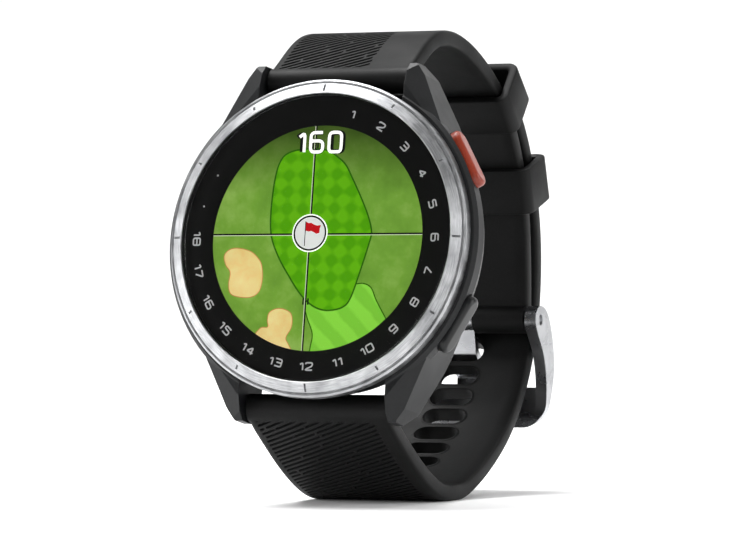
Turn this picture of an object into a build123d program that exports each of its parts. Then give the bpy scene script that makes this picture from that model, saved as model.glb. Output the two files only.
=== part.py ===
from build123d import *

# Golf GPS watch, buckled shut and standing on the bottom of its strap loop.
# Millimetres. +X is the wearer's 3 o'clock side, +Y points away from the face, +Z is up.
# The origin is the middle of the flat stretch of strap that the watch rests on.
# The head is drawn face up in its own frame, (x to 3 o'clock, y to 12 o'clock, z out of the
# face, zero at the front of the glass), and is then leaned back and placed by `head`.
# The strap, buckle and keepers are drawn in side view, on the YZ plane.

import os
from math import atan2, cos, degrees, hypot, radians, sin

os.makedirs("parts", exist_ok=True)

# ---- fits -------------------------------------------------------------------
run_fit = 0.05  # radial clearance of a shaft that turns or slides in its hole
slip_gap = 0.25  # gap between soft parts that slide past each other
seat_gap = 0.02  # gap all round a part that is set into a seat

# ---- head -------------------------------------------------------------------
lean_angle = 9.5  # how far the face leans back, degrees
case_radius = 21.9
drawn_radius = 21.9  # case radius that the points of the strap loop were drawn for
loop_scale = case_radius / drawn_radius
head_centre_y = -21.3 * loop_scale
head_centre_z = 35.2 * loop_scale
case_front_z = -2.2  # the bezel sits on this plane
case_rear_z = -10.4
case_wall = 3.2  # radial, between the outside and the hollow
case_floor = 1.2  # rear wall around the cover's opening
strap_side_wall = 0.9  # case between the lugs, outside the hollow
under_bezel = 1.1  # height of the rim left under the bezel there
bezel_overhang = 0.15  # of the bezel past that rim
bezel_inset = 0.95  # bezel's outer edge, inside the case's
bezel_width = 1.97  # face of the bezel, from the glass to its outer edge
bezel_ledge = 0.9  # ring under the glass
bezel_ledge_z = -1.27
bezel_drop = 0.6  # how far the bezel's face slopes back
groove_width = 0.14
groove_depth = 0.16
rim_width = 0.45  # bright step outside the groove
tick_width = 0.28
tick_depth = 0.12
tick_count = 12
glass_thickness = 1.1
glass_chamfer = 0.2
gasket_thickness = 0.15
gasket_width = 0.8
display_thickness = 1.0
display_step = 0.55  # display's edge, inside the glass's ledge

# ---- lugs and spring bars ---------------------------------------------------
band_width = 20.0
lug_gap = 0.3  # each side of the strap
lug_overhang = 1.8  # beyond the round of the case
lug_reach = case_radius + lug_overhang
lug_tip_width = 1.0  # of the flat end
lug_flare = 1.3  # how much wider the lug is behind its cut corner
lug_corner = 1.8
lug_facet_tilt = 28.0  # slope of the planed facet towards the lug's outer corner, degrees
lug_facet_turn = 39.0
bar_y = case_radius - 0.2  # spring bar's axis, from the centre of the head
bar_z = -6.0
bar_radius = 0.9
bar_bore = 0.62
tip_radius = 0.5
tip_reach = 1.1  # how far a tip goes into the lug
release_travel = 1.25
lever_x = 5.2
lever_radius = 0.55
lever_length = 1.85

# ---- buttons ----------------------------------------------------------------
button_angle = 29.5  # above and below 3 o'clock
button_length = 8.2
button_width = 3.0
button_z = -4.35
button_proud = 0.75  # beyond the case
button_depth = 1.5
button_travel = 0.3
button_gap = 0.12
stem_radius = 0.8
stem_reach = 3.2
clip_thickness = 0.3
ring_section = 0.3  # O-ring's section radius
pocket_slack = 0.15
switch_width = 3.6

# ---- inside the head --------------------------------------------------------
rear_cover_radius = 15.6
rear_cover_thickness = 1.1
seal_width = 0.8
seal_height = 0.4
screw_pitch_radius = 12.9
screw_radius = 0.6
insert_wall = 0.5
boss_wall = 0.5
screw_head_radius = 1.25
screw_head_height = 0.55
screw_length = 3.4
screw_count = 4
frame_plate = 0.7
frame_plate_z = -3.1
board_thickness = 0.8
board_z = -4.6
battery_size = (17.0, 12.4, 3.0)
battery_y = 1.4
motor_y = -11.9
motor_radius = 3.6
motor_height = 2.5
contact_count = 4
contact_pitch = 1.9
contact_radius = 0.55

# ---- strap ------------------------------------------------------------------
strap_thickness = 2.15
lug_barrel_radius = 1.9
buckle_barrel_radius = 1.9
slot_length = 6.0  # across the strap
slot_width = 2.7  # along the strap
slot_pitch = 4.1
slot_count = 7
rest_front_y = -2.0 * loop_scale
rest_back_y = 4.6 * loop_scale
slot_in_use = 34.5 * loop_scale  # along the back run, from the rest stretch
# Outer surface of each strap in side view, from its lug to its free end, as (y, z), drawn for
# a case of `drawn_radius`.
short_run = [(-4.0, 62.0), (1.2, 62.8), (7.0, 62.1), (14.8, 59.3), (20.9, 55.7), (25.4, 51.2),
             (28.6, 46.0), (30.6, 40.3), (31.5, 33.6)]  # fmt: skip
long_front = [(-16.6, 8.3), (-12.0, 5.0), (-7.4, 2.25)]
long_back = [(9.2, 0.85), (16.4, 3.7), (22.2, 7.0), (28.4, 12.6), (32.1, 18.2), (34.5, 24.2),
             (35.5, 30.8), (35.2, 37.0), (33.2, 43.9), (29.9, 50.0), (22.8, 57.6)]  # fmt: skip

# ---- buckle and keepers -----------------------------------------------------
pivot_y = 29.6 * loop_scale
pivot_z = 23.9 * loop_scale
pin_radius = 0.7
arm_gap = 0.35
arm_width = 1.65
boss_radius = 1.95
frame_drop = 15.1  # from the pivot to the foot of the frame
frame_bar_height = 5.6
frame_bar_thickness = 1.3
frame_corner = 3.4
tongue_width = 4.4
tongue_thickness = 1.2
tongue_gap = 0.2
keeper_length = 6.4
keeper_wall = 1.2
keeper_slack = 0.3

# ---- worked out from the sizes above ----------------------------------------
cavity_radius = case_radius - case_wall
bezel_radius = case_radius - bezel_inset
glass_radius = bezel_radius - bezel_width
ledge_radius = glass_radius - bezel_ledge
lug_inner_x = band_width / 2 + lug_gap
head = Location((0, head_centre_y, head_centre_z), (90 - lean_angle, 0, 0))
side = Plane.YZ


def fitted(points):
    """Points of the strap loop, scaled to the case."""
    return [(y * loop_scale, z * loop_scale) for y, z in points]


def head_point(y, z):
    """Side-view (y, z) of a point on the head's middle plane."""
    a = radians(lean_angle)
    return (head_centre_y + y * sin(a) - z * cos(a), head_centre_z + y * cos(a) + z * sin(a))


def save(name, *solids):
    """Write one node; several solids stay separate solids of that node."""
    shape = solids[0] if len(solids) == 1 else Compound(children=list(solids))
    shape.label = name
    export_step(shape, f"parts/{name}.step")
    return shape


def disc(radius, low, high, x=0.0, y=0.0):
    """A round plate between two heights."""
    return Pos(x, y, (low + high) / 2) * Cylinder(radius, high - low)


def ring(outer, inner, low, high):
    return disc(outer, low, high) - disc(inner, low - 1, high + 1)


def turned(points):
    """A solid of revolution from an (r, z) outline."""
    outline = make_face(Polyline(*[(r, 0, z) for r, z in points], close=True))
    return revolve(outline, Axis.Z)


def across(shape_on_side, low_x, high_x):
    """Extrude a side-view face from one X to another."""
    return Pos(low_x, 0, 0) * extrude(side * shape_on_side, high_x - low_x)


# ---- bezel, glass and display -----------------------------------------------
def bezel_profile():
    rim_z = -bezel_drop - 0.1
    groove_out = bezel_radius - rim_width
    groove_in = groove_out - groove_width
    return [
        (ledge_radius, case_front_z),
        (bezel_radius, case_front_z),
        (bezel_radius, rim_z - 0.25),
        (bezel_radius - 0.25, rim_z),
        (groove_out, rim_z),
        (groove_out, -bezel_drop - groove_depth),
        (groove_in, -bezel_drop - groove_depth),
        (groove_in, -bezel_drop),
        (glass_radius + 0.12, 0),
        (glass_radius, -0.08),
        (glass_radius, bezel_ledge_z),
        (ledge_radius, bezel_ledge_z),
    ]


bezel = turned(bezel_profile())
tick_middle = bezel_radius - rim_width - groove_width - 0.62
for n in range(tick_count):
    tick_length = 1.0 if n % 3 == 0 else 0.55
    tick_z = -bezel_drop * 0.5
    tick = Pos(tick_middle, 0, tick_z) * Box(tick_length, tick_width, 2 * tick_depth + 0.3)
    bezel -= Rot(0, 0, n * 360 / tick_count) * tick

glass_low = -glass_thickness
cover_lens = disc(glass_radius - seat_gap, glass_low, 0)
cover_lens = chamfer(cover_lens.edges().group_by(Axis.Z)[-1], glass_chamfer)
gasket_low = bezel_ledge_z
lens_gasket = ring(
    glass_radius - 0.1, glass_radius - 0.1 - gasket_width, gasket_low, gasket_low + gasket_thickness
)
display_radius = ledge_radius - display_step
display_low = glass_low - display_thickness
display_panel = disc(display_radius, display_low, glass_low)


# ---- case with its four lugs ------------------------------------------------
def case_round():
    """The round body, which narrows towards the wrist."""
    front, rear = case_front_z, case_rear_z
    return turned([
        (0, front),
        (case_radius - 0.5, front),
        (case_radius, front - 0.5),
        (case_radius, front - 2.3),
        (case_radius - 1.0, front - 5.0),
        (case_radius - 3.2, rear + 0.7),
        (case_radius - 4.2, rear),
        (0, rear),
    ])  # fmt: skip


def lug():
    """One lug, at the right of 12 o'clock: its side view cut to its front view and bevelled."""
    inner = lug_inner_x
    tip = inner + lug_tip_width
    root = case_radius * 0.80
    front_view = make_face(Polyline(
        (inner, case_radius * 0.55),
        (inner, lug_reach),
        (tip, lug_reach),
        (tip + lug_flare, lug_reach - lug_corner),
        (case_radius * 0.73, case_radius * 0.667),
        (root, case_radius * 0.48),
        (root, case_radius * 0.40),
        close=True,
    ))  # fmt: skip
    block = Pos(0, 0, case_rear_z) * extrude(front_view, case_front_z + 0.55 - case_rear_z)
    side_view = make_face(Polyline(
        (case_radius * 0.4, case_front_z - 0.2),
        (bezel_radius - 0.6, case_front_z - 0.2),
        (bezel_radius + 0.1, case_front_z + 0.15),
        (lug_reach - 1.3, case_front_z - 0.75),
        (lug_reach - 0.1, case_front_z - 1.9),
        (lug_reach, case_front_z - 4.6),
        (lug_reach - 1.5, case_front_z - 6.6),
        (case_radius * 0.75, case_rear_z + 0.1),
        (case_radius * 0.4, case_rear_z + 0.1),
        close=True,
    ))  # fmt: skip
    shape = block & across(side_view, inner - 1, root + 2)
    # The front is planed off towards the outer corner, from a line between the bezel and the tip.
    facet_start = (inner + 1.0, lug_reach - 4.3, case_front_z - 0.2)
    cutter = Pos(*facet_start) * Rot(0, 0, lug_facet_turn) * Rot(0, lug_facet_tilt, 0) * Box(
        24, 24, 4, align=(Align.CENTER, Align.CENTER, Align.MIN)
    )
    return shape - cutter


def spring_bar_hole():
    hole = Cylinder(tip_radius + run_fit, 2 * (tip_reach + run_fit) + 2 * lug_inner_x)
    return Pos(0, bar_y, bar_z) * Rot(0, 90, 0) * hole


def pill(length, width, low_r, high_r):
    """A button-shaped prism along the radius, on the 3 o'clock side."""
    sketch = Plane((low_r, 0, 0), x_dir=(0, 1, 0), z_dir=(1, 0, 0)) * SlotOverall(length, width)
    return Pos(0, 0, button_z) * extrude(sketch, high_r - low_r)


def spoke(radius, low_r, high_r):
    """A round bar along the radius, on the 3 o'clock side."""
    middle = Pos((low_r + high_r) / 2, 0, button_z)
    return middle * Rot(0, 90, 0) * Cylinder(radius, high_r - low_r)


cap_outer = case_radius + button_proud
cap_inner = cap_outer - button_depth
pocket_floor = cap_inner - button_travel - pocket_slack
stem_end = cap_inner - stem_reach
button_turns = {"upper": button_angle, "lower": -button_angle}

case_body = case_round()
one_lug = lug()
for flip_x in (False, True):
    for flip_y in (False, True):
        placed = one_lug.mirror(Plane.YZ) if flip_x else one_lug
        placed = placed.mirror(Plane.XZ) if flip_y else placed
        case_body += placed
strap_room = disc(lug_barrel_radius + slip_gap, -lug_inner_x, lug_inner_x)
strap_room = Pos(0, bar_y, bar_z) * Rot(0, 90, 0) * strap_room
case_body -= strap_room + strap_room.mirror(Plane.XZ)
# Between the lugs the case is cut back, so that daylight shows past the bezel and the strap.
cut_back = Box(2 * lug_inner_x, 4 * case_radius, 4 * case_radius)
rim_low = case_front_z - under_bezel
cut_back -= disc(bezel_radius - bezel_overhang, rim_low, case_front_z + 1)
cut_back -= disc(cavity_radius + strap_side_wall, case_rear_z - 1, rim_low)
case_body -= cut_back & ring(3 * case_radius, 1, case_rear_z - 1, case_front_z)
case_body -= spring_bar_hole() + spring_bar_hole().mirror(Plane.XZ)
case_body -= disc(cavity_radius, case_rear_z + case_floor, case_front_z + 1)
for turn in button_turns.values():
    pocket = pill(
        button_length + 2 * button_gap, button_width + 2 * button_gap, pocket_floor, case_radius + 3
    )
    bore = spoke(stem_radius + run_fit, cavity_radius - 2, case_radius)
    case_body -= Rot(0, 0, turn) * (pocket + bore)

cover_low = case_rear_z - 0.55
cover_high = cover_low + rear_cover_thickness
ledge_low = case_rear_z + case_floor
case_body -= disc(rear_cover_radius - 1.0, case_rear_z - 1, ledge_low + 1)
case_body -= disc(rear_cover_radius + seat_gap, case_rear_z - 1, cover_high)

# ---- rear cover, its seal and screws ----------------------------------------
rear_cover = disc(rear_cover_radius, cover_low, cover_high)
rear_cover = chamfer(rear_cover.edges().group_by(Axis.Z)[0], 0.3)
port_width = (contact_count + 1) * contact_pitch
port_y = -6.0
port = Pos(0, port_y, 0) * Box(port_width, 3.4, 4)
rear_cover -= Pos(0, 0, (cover_low + cover_high) / 2) * port
screw_places = [
    Rot(0, 0, 45 + n * 360 / screw_count) * Pos(screw_pitch_radius, 0, 0) for n in range(screw_count)
]
for place in screw_places:
    rear_cover -= place * disc(screw_radius + run_fit, cover_low - 1, cover_high + 1)
    rear_cover -= place * disc(
        screw_head_radius + run_fit, cover_low - 1, cover_low + screw_head_height
    )


def cover_screw():
    head_part = disc(screw_head_radius, cover_low, cover_low + screw_head_height)
    shank = disc(screw_radius, cover_low + screw_head_height, cover_low + screw_length)
    slot = [Rot(0, 0, a) * Box(1.5, 0.3, 0.5) for a in (0, 90)]
    driver = Pos(0, 0, cover_low) * (slot[0] + slot[1])
    return head_part + shank - driver


screws = [place * cover_screw() for place in screw_places]
inserts = []
insert_radius = screw_radius + insert_wall
insert_low = cover_high + 0.3
insert_high = cover_low + screw_length + 0.25
for place in screw_places:
    insert = disc(insert_radius, insert_low, insert_high)
    insert -= disc(screw_radius, insert_low - 1, cover_low + screw_length)
    inserts.append(place * insert)

seal_outer = rear_cover_radius - 0.15
seal_inner = seal_outer - seal_width
rear_seal = ring(seal_outer, seal_inner, cover_high + seat_gap, cover_high + seal_height)
case_body -= ring(
    seal_outer + seat_gap, seal_inner - seat_gap, cover_high - 0.5, cover_high + seal_height + seat_gap
)

# ---- inside: frame, board, battery, aerial, motor, contacts -----------------
frame_radius = cavity_radius - 0.1
inner_frame = disc(frame_radius, frame_plate_z - frame_plate, frame_plate_z)
inner_frame += ring(frame_radius, frame_radius - 1.2, board_z - 0.2, frame_plate_z - frame_plate)
board_radius = frame_radius - 1.5
board_low = board_z - board_thickness
main_board = disc(board_radius, board_low, board_z)
for turn in button_turns.values():
    # The switch and the end of the stem need a notch in the frame's skirt and the board.
    gate = Rot(0, 0, turn) * Pos(stem_end, 0, button_z) * Box(6.4, switch_width, 2.5)
    inner_frame -= gate
    main_board -= gate
# Four bosses hang from the frame, through the board, and hold the inserts for the screws.
boss_radius_out = insert_radius + boss_wall
for place in screw_places:
    inner_frame += place * disc(boss_radius_out, insert_low + 0.1, frame_plate_z - frame_plate)
    inner_frame -= place * disc(insert_radius, insert_low - 1, insert_high)
    main_board -= place * disc(boss_radius_out + 0.1, board_low - 1, board_z + 1)

shield_can = Pos(0, 4.5, board_low - 0.6) * Box(12, 8, 1.2)
shield_can = fillet(shield_can.edges().filter_by(Axis.Z), 0.6)
battery_z = cover_high + 0.1 + battery_size[2] / 2
battery = Pos(0, battery_y, battery_z) * Box(*battery_size)
battery = fillet(battery.edges().filter_by(Axis.Z), 1.5)
antenna_ring = ring(frame_radius, frame_radius - 0.9, frame_plate_z + 0.05, case_front_z - 0.05)
antenna_ring -= Pos(0, -frame_radius, frame_plate_z + 0.4) * Box(3, 4, 2)

motor_low = board_low - 0.05 - motor_height
motor_place = Pos(0, motor_y, 0)
motor_shell = disc(motor_radius, motor_low, board_low - 0.05)
motor_shell -= disc(motor_radius - 0.25, motor_low + 0.25, board_low - 0.3)
motor_axle_radius = 0.35
motor_axle = disc(motor_axle_radius, motor_low + 0.2, board_low - 0.25)
motor_case = motor_place * (motor_shell + motor_axle)
rotor_low = motor_low + 0.45
rotor_high = board_low - 0.5
rotor = disc(motor_radius - 0.5, rotor_low, rotor_high)
rotor -= disc(motor_axle_radius + run_fit, rotor_low - 1, rotor_high + 1)
weight_cut = Pos(-motor_radius, 0, (rotor_low + rotor_high) / 2) * Box(2 * motor_radius, 10, 3)
rotor -= weight_cut - disc(1.2, rotor_low - 2, rotor_high + 2)
motor_rotor = motor_place * rotor

contact_holder = Pos(0, port_y, cover_high - 0.35) * Box(port_width - 0.1, 3.3, 0.7)
pins = []
for n in range(contact_count):
    x = (n - (contact_count - 1) / 2) * contact_pitch
    pin_hole = disc(contact_radius, cover_high - 1.0, cover_high + 0.5, x, port_y)
    contact_holder -= pin_hole
    pins.append(disc(contact_radius, cover_high - 0.75, cover_high + 0.08, x, port_y))

# ---- buttons ----------------------------------------------------------------
ring_groove = stem_radius - 0.25
ring_r = cap_inner - 1.05


def button():
    cap = pill(button_length, button_width, cap_inner, cap_outer)
    outer_face = cap.faces().sort_by(Axis.X)[-1]
    cap = fillet(outer_face.edges(), 0.6)
    stem = spoke(stem_radius, stem_end, cap_inner + 0.1)
    stem -= spoke(stem_radius + 1, ring_r - ring_section, ring_r + ring_section) - spoke(
        ring_groove, ring_r - 1, ring_r + 1
    )
    clip_r = stem_end + 0.35
    stem -= spoke(stem_radius + 1, clip_r, clip_r + clip_thickness) - spoke(
        stem_radius - 0.3, clip_r - 1, clip_r + 1
    )
    return cap + stem


def button_seal():
    outer = spoke(stem_radius, ring_r - ring_section + seat_gap, ring_r + ring_section - seat_gap)
    return outer - spoke(ring_groove, ring_r - 1, ring_r + 1)


def button_clip():
    low = stem_end + 0.35 + seat_gap
    high = low + clip_thickness - 2 * seat_gap
    clip = spoke(stem_radius + 0.55, low, high) - spoke(stem_radius - 0.3, low - 1, high + 1)
    mouth = Pos((low + high) / 2, 0, button_z - 1) * Box(1, 2 * (stem_radius - 0.45), 2)
    return clip - mouth


def button_switch():
    face = stem_end - button_travel - 0.02
    body = Pos(face - 0.55, 0, button_z) * Box(0.7, switch_width - 2 * seat_gap, 1.9)
    return body + spoke(0.6, face - 0.3, face)


# ---- straps -----------------------------------------------------------------
def normals_out(curve, u):
    """Point on a side-view curve and the unit normal on its right, away from the wrist."""
    p = curve @ u
    t = curve % u
    return p.X, p.Y, t.Y, -t.X


def offset_points(curve, distance, count=28, start=0.0, end=1.0):
    """Points a set distance inside (positive) a side-view curve."""
    points = []
    for n in range(count + 1):
        x, y, nx, ny = normals_out(curve, start + (end - start) * n / count)
        points.append((x - distance * nx, y - distance * ny))
    return points


def ribbon(curve, thickness, sign):
    """The face between a side-view curve and its copy `thickness` towards the wrist."""
    inner = offset_points(curve, sign * thickness)
    back = Spline(*reversed(inner))
    start_cap = Line(inner[0], curve @ 0)
    end_cap = Line(curve @ 1, inner[-1])
    return make_face([curve, end_cap, back, start_cap])


def polar(centre, radius, angle):
    return (centre[0] + radius * cos(radians(angle)), centre[1] + radius * sin(radians(angle)))


def heading(angle):
    return (cos(radians(angle)), sin(radians(angle)))


def round_at(centre, radius):
    return Pos(centre[0], centre[1]) * Circle(radius)


upper_bar = head_point(bar_y, bar_z)
lower_bar = head_point(-bar_y, bar_z)
pivot = (pivot_y, pivot_z)
half = band_width / 2

# The short strap runs from the 12 o'clock lugs to the buckle's pin.
short_start = polar(upper_bar, lug_barrel_radius, 118)
short_end = polar(pivot, buckle_barrel_radius, 0)
short_curve = Spline(
    short_start, *fitted(short_run), short_end, tangents=(heading(28), heading(-92))
)
short_profile = ribbon(short_curve, strap_thickness, -1)
short_profile += round_at(upper_bar, lug_barrel_radius) + round_at(pivot, buckle_barrel_radius)

# The long strap runs from the 6 o'clock lugs, under the loop and up behind it to its tail.
long_start = polar(lower_bar, lug_barrel_radius, -138)
front_curve = Spline(
    long_start, *fitted(long_front), (rest_front_y, 0), tangents=(heading(-48), heading(0))
)
rest_line = Line((rest_front_y, 0), (rest_back_y, 0))
back_curve = Spline((rest_back_y, 0), *fitted(long_back), tangents=(heading(0), heading(136)))
long_profile = ribbon(front_curve, strap_thickness, 1)
long_profile += Pos((rest_front_y + rest_back_y) / 2, strap_thickness / 2) * Rectangle(
    rest_back_y - rest_front_y, strap_thickness
)
long_profile += ribbon(back_curve, strap_thickness, 1)
long_profile += round_at(lower_bar, lug_barrel_radius)

short_strap = across(short_profile, -half, half)
long_strap = across(long_profile, -half, half)


def hole_along_x(centre, radius, low_x, high_x):
    return across(round_at(centre, radius), low_x, high_x)


def lever_window(bar_place, down):
    """Room for the quick-release lever on the wrist side of a strap's lug end."""
    middle_x = lever_x - release_travel / 2
    size_x = release_travel + 2 * lever_radius + 0.5
    reach = lug_barrel_radius + 1.5
    return Pos(middle_x, bar_place[0] + reach / 2, bar_place[1] + down * 0.3) * Box(
        size_x, reach, 2 * lever_radius + 1.0
    )


bar_hole_radius = bar_radius + run_fit
short_strap -= hole_along_x(upper_bar, bar_hole_radius, -half - 1, half + 1)
long_strap -= hole_along_x(lower_bar, bar_hole_radius, -half - 1, half + 1)
short_strap -= lever_window(upper_bar, 0)
long_strap -= lever_window(lower_bar, 0)
short_strap -= hole_along_x(pivot, pin_radius + run_fit, -half - 1, half + 1)
tongue_room = Pos(0, pivot_y, pivot_z - 1.0) * Box(
    tongue_width + 2 * tongue_gap, 4.6, 2 * buckle_barrel_radius + 2.3
)
short_strap -= tongue_room

# Slots for the tongue, counted along the back of the long strap from the one in use.
back_length = back_curve.length


def slot_cut(distance):
    """A slot through the long strap at a distance along its back run."""
    x, y, nx, ny = normals_out(back_curve, distance / back_length)
    middle = strap_thickness / 2
    place = Plane((0, x - middle * nx, y - middle * ny), x_dir=(1, 0, 0), z_dir=(0, nx, ny))
    return extrude(place * SlotOverall(slot_length, slot_width), strap_thickness, both=True)


for n in range(slot_count):
    long_strap -= slot_cut(slot_in_use - n * slot_pitch)

# ---- spring bars ------------------------------------------------------------
bar_half = half - 0.3


def spring_bar(centre):
    tube = hole_along_x(centre, bar_radius, -bar_half, bar_half)
    tube -= hole_along_x(centre, bar_bore + run_fit, 0, bar_half + 1)
    fixed_tip = hole_along_x(centre, tip_radius, -lug_inner_x - tip_reach, -bar_half)
    slot_low = lever_x - release_travel - lever_radius - run_fit
    window = Pos((slot_low + lever_x + lever_radius + run_fit) / 2, centre[0] + 1, centre[1]) * Box(
        lever_x + lever_radius + run_fit - slot_low, 2, 2 * (lever_radius + run_fit)
    )
    return tube + fixed_tip - window


def release_pin(centre):
    plunger = hole_along_x(centre, bar_bore, 3.2, half - 0.4)
    tip = hole_along_x(centre, tip_radius, half - 0.4, lug_inner_x + tip_reach)
    lever = Cylinder(lever_radius, lever_length)
    knob = Pos(0, 0, -lever_length / 2) * Cylinder(lever_radius + 0.2, 0.6)
    lever_place = Pos(lever_x, centre[0] + lever_length / 2, centre[1]) * Rot(90, 0, 0)
    return plunger + tip + lever_place * (lever + knob)


def bar_spring(centre):
    """Coil of the quick-release bar, drawn at its shortest, with room for the pin's travel."""
    coil_radius = bar_bore - 0.14
    turns_length = 1.7
    path = Helix(0.34, turns_length, coil_radius)
    wire = Plane(path @ 0, z_dir=path % 0) * Circle(0.1)
    coil = sweep(wire, path=path, is_frenet=True)
    return Pos(0.1, centre[0], centre[1]) * Rot(0, 90, 0) * coil


# ---- buckle -----------------------------------------------------------------
# Side view of the frame: outer and inner edges from the pivot to the bar that the tongue lies on.
frame_outer = [(pivot_y + 3.9, pivot_z - 0.9), (pivot_y + 5.15, pivot_z - 5.1),
               (pivot_y + 4.75, pivot_z - 9.2), (pivot_y + 3.3, pivot_z - 12.5)]  # fmt: skip
frame_top = polar(pivot, boss_radius, 78)
frame_under = polar(pivot, boss_radius, 215)
frame_foot = (pivot_y + 1.3, pivot_z - frame_drop)
outer_edge = Spline(frame_top, *frame_outer, frame_foot, tangents=(heading(-8), heading(-140)))
frame_inner = [(pivot_y + 0.9, pivot_z - 4.4), (pivot_y + 2.2, pivot_z - 8.6)]
inner_end = (frame_foot[0] - 0.15, frame_foot[1] + frame_bar_thickness)
bar_inner = (pivot_y + 2.1, pivot_z - 11.6)
inner_edge = Spline(
    frame_under, *frame_inner, bar_inner, inner_end, tangents=(heading(-60), heading(-135))
)
frame_side = make_face([
    outer_edge,
    Line(frame_foot, inner_end),
    inner_edge,
    Line(frame_under, pivot),
    Line(pivot, frame_top),
])  # fmt: skip
frame_side += round_at(pivot, boss_radius)
arm_inner_x = half + arm_gap
frame_half = arm_inner_x + arm_width
bar_top_z = frame_foot[1] + frame_bar_height
buckle_block = across(frame_side, -frame_half, frame_half)
opening = Pos(0, pivot_y, bar_top_z) * Box(
    2 * arm_inner_x, 30, 30, align=(Align.CENTER, Align.CENTER, Align.MIN)
)
# The bar is hollowed behind, so that only a thin plate is left between the arms.
bar_shell = across(
    make_face([
        outer_edge,
        Line(frame_foot, (frame_foot[0] - 12, frame_foot[1])),
        Line((frame_foot[0] - 12, frame_foot[1]), (frame_foot[0] - 12, frame_top[1])),
        Line((frame_foot[0] - 12, frame_top[1]), frame_top),
    ]),
    -arm_inner_x,
    arm_inner_x,
)  # fmt: skip
bar_core = Pos(0, -frame_bar_thickness, 0) * bar_shell
bar_core &= Pos(0, pivot_y, frame_foot[1] + frame_bar_thickness * 0.6) * Box(
    2 * arm_inner_x, 60, 40, align=(Align.CENTER, Align.CENTER, Align.MIN)
)
buckle_frame = buckle_block - opening - bar_core
corner_cut = Pos(0, 0, frame_foot[1] - 1) * (
    Box(2 * frame_half + 2, 200, frame_corner + 1, align=(Align.CENTER, Align.CENTER, Align.MIN))
)
corner_keep = Box(
    2 * (frame_half - frame_corner),
    200,
    frame_corner + 2,
    align=(Align.CENTER, Align.CENTER, Align.MIN),
)
corner_cut -= Pos(0, 0, frame_foot[1] - 1.5) * corner_keep
for sign in (-1, 1):
    corner = Rot(90, 0, 0) * Cylinder(frame_corner, 220)
    corner_cut -= Pos(sign * (frame_half - frame_corner), 0, frame_foot[1] + frame_corner) * corner
buckle_frame -= corner_cut
buckle_frame -= hole_along_x(pivot, pin_radius + run_fit, -frame_half - 1, frame_half + 1)
notch_width = tongue_width + 2 * tongue_gap

buckle_pin = hole_along_x(pivot, pin_radius, -frame_half + 0.25, frame_half - 0.25)

# The tongue: a loop round the pin, a flat shank through the slot in use, and a tip over the bar.
loop_radius = pin_radius + run_fit + 0.75
knee_place = (pivot_y + 0.7, pivot_z - 4.6)
crank_place = (pivot_y + 4.8, pivot_z - 8.0)
tip_place = (pivot_y + 4.35, bar_top_z - 2.1)


def bar_between(start, end, thickness):
    """Side view of a flat bar between two points, with round ends."""
    length = hypot(end[0] - start[0], end[1] - start[1])
    angle = degrees(atan2(end[1] - start[1], end[0] - start[0]))
    middle = ((start[0] + end[0]) / 2, (start[1] + end[1]) / 2)
    return Pos(*middle) * Rot(0, 0, angle) * SlotOverall(length + thickness, thickness)


tongue_side = round_at(pivot, loop_radius)
tongue_side += bar_between(pivot, knee_place, tongue_thickness)
tongue_side += bar_between(knee_place, crank_place, tongue_thickness)
tongue_side += bar_between(crank_place, tip_place, tongue_thickness)
buckle_tongue = across(tongue_side, -tongue_width / 2, tongue_width / 2)
buckle_tongue -= hole_along_x(pivot, pin_radius + run_fit, -half, half)
# The bar has a shallow seat for the tip.
seat_side = bar_between(crank_place, tip_place, tongue_thickness + 2 * 0.06)
buckle_frame -= across(seat_side, -notch_width / 2, notch_width / 2)

# ---- keepers ----------------------------------------------------------------
keeper_half = half + keeper_slack + keeper_wall
# Along the short strap, from its lug.
keeper_places = {"upper": 38.6 * loop_scale, "lower": 52.6 * loop_scale}


def stack_height(u):
    """How far the long strap's outer surface stands off the short strap's, at one place."""
    x, y, nx, ny = normals_out(short_curve, u)
    nx, ny = -nx, -ny
    steps = 400
    best = None
    for n in range(steps + 1):
        p = back_curve @ (0.5 + 0.5 * n / steps)
        along = abs((p.X - x) * ny - (p.Y - y) * nx)
        if best is None or along < best[0]:
            best = (along, (p.X - x) * nx + (p.Y - y) * ny)
    return best[1]


def keeper(distance):
    """A rectangular loop round both straps, square to the short one."""
    u = distance / short_curve.length
    x, y, nx, ny = normals_out(short_curve, u)
    nx, ny = -nx, -ny
    low = -strap_thickness - keeper_slack - keeper_wall
    high = stack_height(u) + keeper_slack + keeper_wall
    middle = (low + high) / 2
    place = Plane((0, x + middle * nx, y + middle * ny), x_dir=(1, 0, 0), z_dir=(0, ny, -nx))
    outer = RectangleRounded(2 * keeper_half, high - low, 1.5)
    hole = Rectangle(2 * keeper_half - 2 * keeper_wall, high - low - 2 * keeper_wall)
    return extrude(place * (outer - hole), keeper_length / 2, both=True)


# ---- write the nodes --------------------------------------------------------
def on_head(shape):
    return head * shape


save("case_body", on_head(case_body))
save("bezel_ring", on_head(bezel))
save("cover_lens", on_head(cover_lens))
save("lens_gasket", on_head(lens_gasket))
save("display_panel", on_head(display_panel))
save("inner_frame", on_head(inner_frame))
save("main_board", on_head(main_board))
save("shield_can", on_head(shield_can))
save("battery", on_head(battery))
save("gps_antenna", on_head(antenna_ring))
save("motor_case", on_head(motor_case))
save("motor_rotor", on_head(motor_rotor))
save("rear_cover", on_head(rear_cover))
save("rear_cover_seal", on_head(rear_seal))
save("rear_cover_screws", *[on_head(screw) for screw in screws])
save("screw_inserts", *[on_head(insert) for insert in inserts])
save("contact_holder", on_head(contact_holder))
save("charge_contacts", *[on_head(pin) for pin in pins])
for name, turn in button_turns.items():
    place = head * Rot(0, 0, turn)
    save(f"{name}_button", place * button())
    save(f"{name}_button_seal", place * button_seal())
    save(f"{name}_button_clip", place * button_clip())
    save(f"{name}_button_switch", place * button_switch())
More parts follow.
